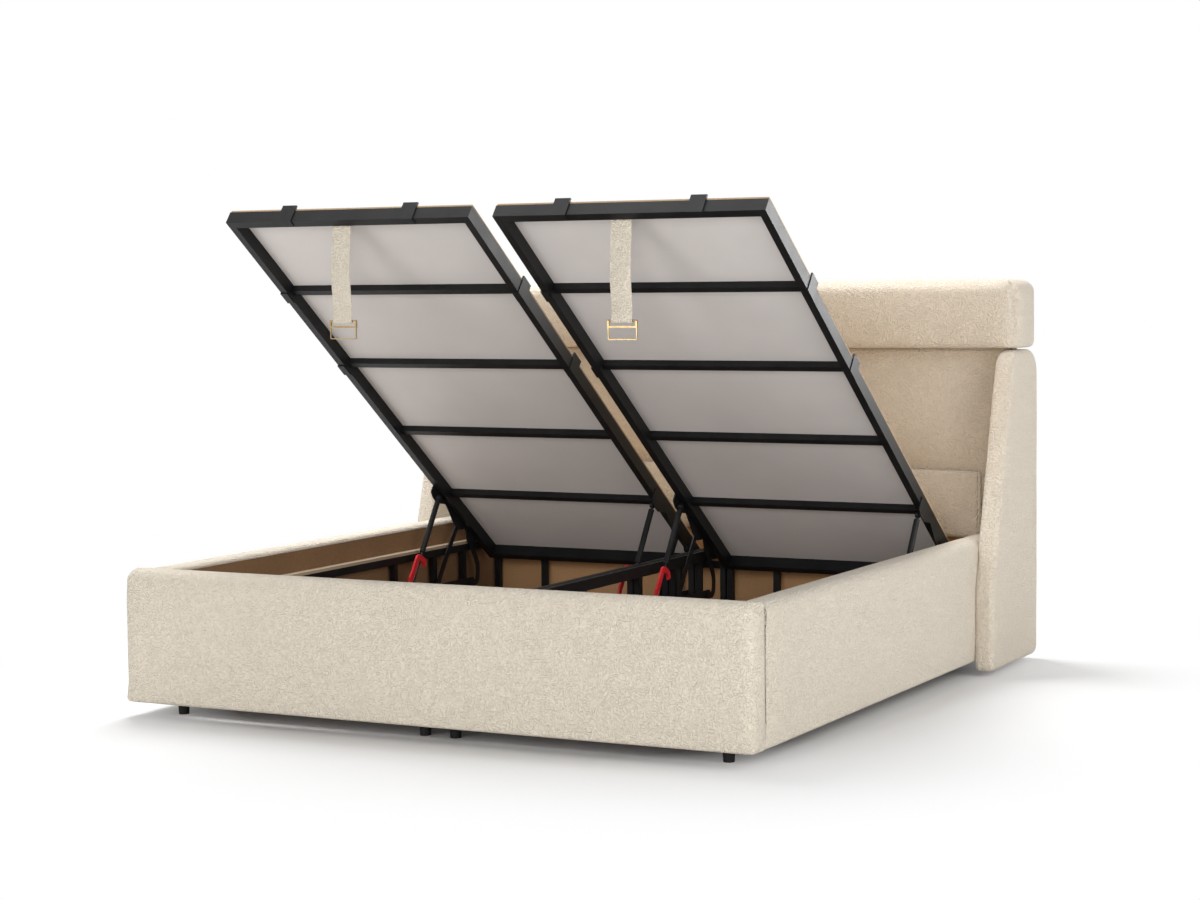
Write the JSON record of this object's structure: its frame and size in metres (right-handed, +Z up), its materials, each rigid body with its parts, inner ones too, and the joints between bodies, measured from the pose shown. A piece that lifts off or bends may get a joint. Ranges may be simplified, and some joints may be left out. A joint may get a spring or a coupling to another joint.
{
  "type": "upholstered storage bed",
  "caption": "Upholstered storage bed with a winged, cushioned headboard and two lift-up platforms on gas struts over a steel base.",
  "frame": {"origin": "middle of the bed's outline on the floor", "axes": "+X to the bed's right seen from the foot, +Y from the foot to the headboard, +Z up"},
  "size_m": [2.17, 2.16, 1.5112],
  "materials": {
    "cream_fabric": "matte",
    "black_steel": "satin",
    "brown_board": "matte",
    "light_wood": "matte",
    "plywood": "matte",
    "red_plastic": "gloss",
    "rod_steel": "polished",
    "buckle_brass": "polished"
  },
  "bodies": {
    "base": {"footboard_cover": "cream_fabric", "footboard_board": "brown_board", "head_inner_board": "brown_board", "headboard_panel": "brown_board", "headboard_back_cover": "cream_fabric", "headboard_cushion": "cream_fabric", "lumbar_cushion": "cream_fabric", "headboard_pillow": "cream_fabric", "side_rail_cover_left": "cream_fabric", "side_rail_board_left": "brown_board", "headboard_wing_left": "cream_fabric", "ledge_side_left": "light_wood", "ledge_foot_left": "light_wood", "base_frame_left": "black_steel", "floor_panel_left": "brown_board", "side_rail_cover_right": "cream_fabric", "side_rail_board_right": "brown_board", "headboard_wing_right": "cream_fabric", "ledge_side_right": "light_wood", "ledge_foot_right": "light_wood", "base_frame_right": "black_steel", "floor_panel_right": "brown_board", "lower_bracket_left_inner": "black_steel", "lower_bracket_left_outer": "black_steel", "lower_bracket_right_inner": "black_steel", "lower_bracket_right_outer": "black_steel"},
    "platform_left": {"platform_frame_left": "black_steel", "platform_deck_left": "plywood", "upper_bracket_left_inner": "black_steel", "upper_bracket_left_outer": "black_steel"},
    "strap_left": {"lift_strap_left": "cream_fabric"},
    "buckle_left": {"strap_buckle_left": "buckle_brass"},
    "platform_right": {"platform_frame_right": "black_steel", "platform_deck_right": "plywood", "upper_bracket_right_inner": "black_steel", "upper_bracket_right_outer": "black_steel"},
    "strap_right": {"lift_strap_right": "cream_fabric"},
    "buckle_right": {"strap_buckle_right": "buckle_brass"},
    "front_link_left_inner_body": {"front_link_left_inner": "black_steel"},
    "rear_link_left_inner_body": {"rear_link_left_inner": "black_steel"},
    "strut_rod_left_inner_body": {"strut_rod_left_inner": "rod_steel"},
    "strut_cylinder_left_inner_body": {"strut_cylinder_left_inner": "black_steel"},
    "safety_hook_left_inner_body": {"safety_hook_left_inner": "red_plastic"},
    "front_link_left_outer_body": {"front_link_left_outer": "black_steel"},
    "rear_link_left_outer_body": {"rear_link_left_outer": "black_steel"},
    "strut_rod_left_outer_body": {"strut_rod_left_outer": "rod_steel"},
    "strut_cylinder_left_outer_body": {"strut_cylinder_left_outer": "black_steel"},
    "safety_hook_left_outer_body": {"safety_hook_left_outer": "red_plastic"},
    "front_link_right_inner_body": {"front_link_right_inner": "black_steel"},
    "rear_link_right_inner_body": {"rear_link_right_inner": "black_steel"},
    "strut_rod_right_inner_body": {"strut_rod_right_inner": "rod_steel"},
    "strut_cylinder_right_inner_body": {"strut_cylinder_right_inner": "black_steel"},
    "safety_hook_right_inner_body": {"safety_hook_right_inner": "red_plastic"},
    "front_link_right_outer_body": {"front_link_right_outer": "black_steel"},
    "rear_link_right_outer_body": {"rear_link_right_outer": "black_steel"},
    "strut_rod_right_outer_body": {"strut_rod_right_outer": "rod_steel"},
    "strut_cylinder_right_outer_body": {"strut_cylinder_right_outer": "black_steel"},
    "safety_hook_right_outer_body": {"safety_hook_right_outer": "red_plastic"}
  },
  "joints": [
    {"name": "platform_left_lift", "type": "hinge", "parent": "base", "child": "platform_left", "pos_m": [0, 0.80045, 0.48931], "axis": [1, 0, 0], "range_deg": [0, 37.3], "stiffness_Nm_per_rad": 80, "springref_deg": -166.16},
    {"name": "strap_left_swing", "type": "hinge", "parent": "platform_left", "child": "strap_left", "pos_m": [-0.4925, -0.67627, 1.44668], "axis": [1, 0, 0], "range_deg": [-40, 40]},
    {"name": "buckle_left_swing", "type": "hinge", "parent": "strap_left", "child": "buckle_left", "pos_m": [-0.4925, -0.67627, 1.16358], "axis": [1, 0, 0], "range_deg": [-45, 45]},
    {"name": "platform_right_lift", "type": "hinge", "parent": "base", "child": "platform_right", "pos_m": [0, 0.80045, 0.48931], "axis": [1, 0, 0], "range_deg": [0, 37.3], "stiffness_Nm_per_rad": 80, "springref_deg": -166.16},
    {"name": "strap_right_swing", "type": "hinge", "parent": "platform_right", "child": "strap_right", "pos_m": [0.4425, -0.67627, 1.44668], "axis": [1, 0, 0], "range_deg": [-40, 40]},
    {"name": "buckle_right_swing", "type": "hinge", "parent": "strap_right", "child": "buckle_right", "pos_m": [0.4425, -0.67627, 1.16358], "axis": [1, 0, 0], "range_deg": [-45, 45]},
    {"name": "front_link_left_inner_turn", "type": "hinge", "parent": "base", "child": "front_link_left_inner_body", "pos_m": [-0.0342, 0.49315, 0.2], "axis": [1, 0, 0], "range_deg": [-23.94, 0]},
    {"name": "rear_link_left_inner_turn", "type": "hinge", "parent": "base", "child": "rear_link_left_inner_body", "pos_m": [-0.0342, 0.73198, 0.2], "axis": [1, 0, 0], "range_deg": [-37.32, 0]},
    {"name": "strut_left_inner_turn", "type": "hinge", "parent": "base", "child": "strut_rod_left_inner_body", "pos_m": [-0.052, 0.281, 0.2], "axis": [1, 0, 0], "range_deg": [-30.15, 0]},
    {"name": "strut_left_inner_slide", "type": "slide", "parent": "strut_rod_left_inner_body", "child": "strut_cylinder_left_inner_body", "axis": [0, 0.5412, 0.8409], "range_m": [-0.10438, 0]},
    {"name": "safety_hook_left_inner_turn", "type": "hinge", "parent": "strut_rod_left_inner_body", "child": "safety_hook_left_inner_body", "pos_m": [-0.067, 0.281, 0.2], "axis": [1, 0, 0], "range_deg": [0, 25]},
    {"name": "front_link_left_outer_turn", "type": "hinge", "parent": "base", "child": "front_link_left_outer_body", "pos_m": [-0.9008, 0.49315, 0.2], "axis": [1, 0, 0], "range_deg": [-23.94, 0]},
    {"name": "rear_link_left_outer_turn", "type": "hinge", "parent": "base", "child": "rear_link_left_outer_body", "pos_m": [-0.9008, 0.73198, 0.2], "axis": [1, 0, 0], "range_deg": [-37.32, 0]},
    {"name": "strut_left_outer_turn", "type": "hinge", "parent": "base", "child": "strut_rod_left_outer_body", "pos_m": [-0.883, 0.281, 0.2], "axis": [1, 0, 0], "range_deg": [-30.15, 0]},
    {"name": "strut_left_outer_slide", "type": "slide", "parent": "strut_rod_left_outer_body", "child": "strut_cylinder_left_outer_body", "axis": [0, 0.5412, 0.8409], "range_m": [-0.10438, 0]},
    {"name": "safety_hook_left_outer_turn", "type": "hinge", "parent": "strut_rod_left_outer_body", "child": "safety_hook_left_outer_body", "pos_m": [-0.868, 0.281, 0.2], "axis": [1, 0, 0], "range_deg": [0, 25]},
    {"name": "front_link_right_inner_turn", "type": "hinge", "parent": "base", "child": "front_link_right_inner_body", "pos_m": [0.0342, 0.49315, 0.2], "axis": [1, 0, 0], "range_deg": [-23.94, 0]},
    {"name": "rear_link_right_inner_turn", "type": "hinge", "parent": "base", "child": "rear_link_right_inner_body", "pos_m": [0.0342, 0.73198, 0.2], "axis": [1, 0, 0], "range_deg": [-37.32, 0]},
    {"name": "strut_right_inner_turn", "type": "hinge", "parent": "base", "child": "strut_rod_right_inner_body", "pos_m": [0.052, 0.281, 0.2], "axis": [1, 0, 0], "range_deg": [-30.15, 0]},
    {"name": "strut_right_inner_slide", "type": "slide", "parent": "strut_rod_right_inner_body", "child": "strut_cylinder_right_inner_body", "axis": [0, 0.5412, 0.8409], "range_m": [-0.10438, 0]},
    {"name": "safety_hook_right_inner_turn", "type": "hinge", "parent": "strut_rod_right_inner_body", "child": "safety_hook_right_inner_body", "pos_m": [0.067, 0.281, 0.2], "axis": [1, 0, 0], "range_deg": [0, 25]},
    {"name": "front_link_right_outer_turn", "type": "hinge", "parent": "base", "child": "front_link_right_outer_body", "pos_m": [0.9008, 0.49315, 0.2], "axis": [1, 0, 0], "range_deg": [-23.94, 0]},
    {"name": "rear_link_right_outer_turn", "type": "hinge", "parent": "base", "child": "rear_link_right_outer_body", "pos_m": [0.9008, 0.73198, 0.2], "axis": [1, 0, 0], "range_deg": [-37.32, 0]},
    {"name": "strut_right_outer_turn", "type": "hinge", "parent": "base", "child": "strut_rod_right_outer_body", "pos_m": [0.883, 0.281, 0.2], "axis": [1, 0, 0], "range_deg": [-30.15, 0]},
    {"name": "strut_right_outer_slide", "type": "slide", "parent": "strut_rod_right_outer_body", "child": "strut_cylinder_right_outer_body", "axis": [0, 0.5412, 0.8409], "range_m": [-0.10438, 0]},
    {"name": "safety_hook_right_outer_turn", "type": "hinge", "parent": "strut_rod_right_outer_body", "child": "safety_hook_right_outer_body", "pos_m": [0.868, 0.281, 0.2], "axis": [1, 0, 0], "range_deg": [0, 25]}
  ],
  "couplings": [
    {"joint": "front_link_left_inner_turn", "follows": "platform_left_lift", "ratio": -0.63633},
    {"joint": "rear_link_left_inner_turn", "follows": "platform_left_lift", "ratio": -0.99526},
    {"joint": "strut_left_inner_turn", "follows": "platform_left_lift", "ratio": -0.80285},
    {"joint": "strut_left_inner_slide", "follows": "platform_left_lift", "m_per_rad": -0.15957},
    {"joint": "front_link_left_outer_turn", "follows": "platform_left_lift", "ratio": -0.63633},
    {"joint": "rear_link_left_outer_turn", "follows": "platform_left_lift", "ratio": -0.99526},
    {"joint": "strut_left_outer_turn", "follows": "platform_left_lift", "ratio": -0.80285},
    {"joint": "strut_left_outer_slide", "follows": "platform_left_lift", "m_per_rad": -0.15957},
    {"joint": "front_link_right_inner_turn", "follows": "platform_right_lift", "ratio": -0.63633},
    {"joint": "rear_link_right_inner_turn", "follows": "platform_right_lift", "ratio": -0.99526},
    {"joint": "strut_right_inner_turn", "follows": "platform_right_lift", "ratio": -0.80285},
    {"joint": "strut_right_inner_slide", "follows": "platform_right_lift", "m_per_rad": -0.15957},
    {"joint": "front_link_right_outer_turn", "follows": "platform_right_lift", "ratio": -0.63633},
    {"joint": "rear_link_right_outer_turn", "follows": "platform_right_lift", "ratio": -0.99526},
    {"joint": "strut_right_outer_turn", "follows": "platform_right_lift", "ratio": -0.80285},
    {"joint": "strut_right_outer_slide", "follows": "platform_right_lift", "m_per_rad": -0.15957}
  ]
}
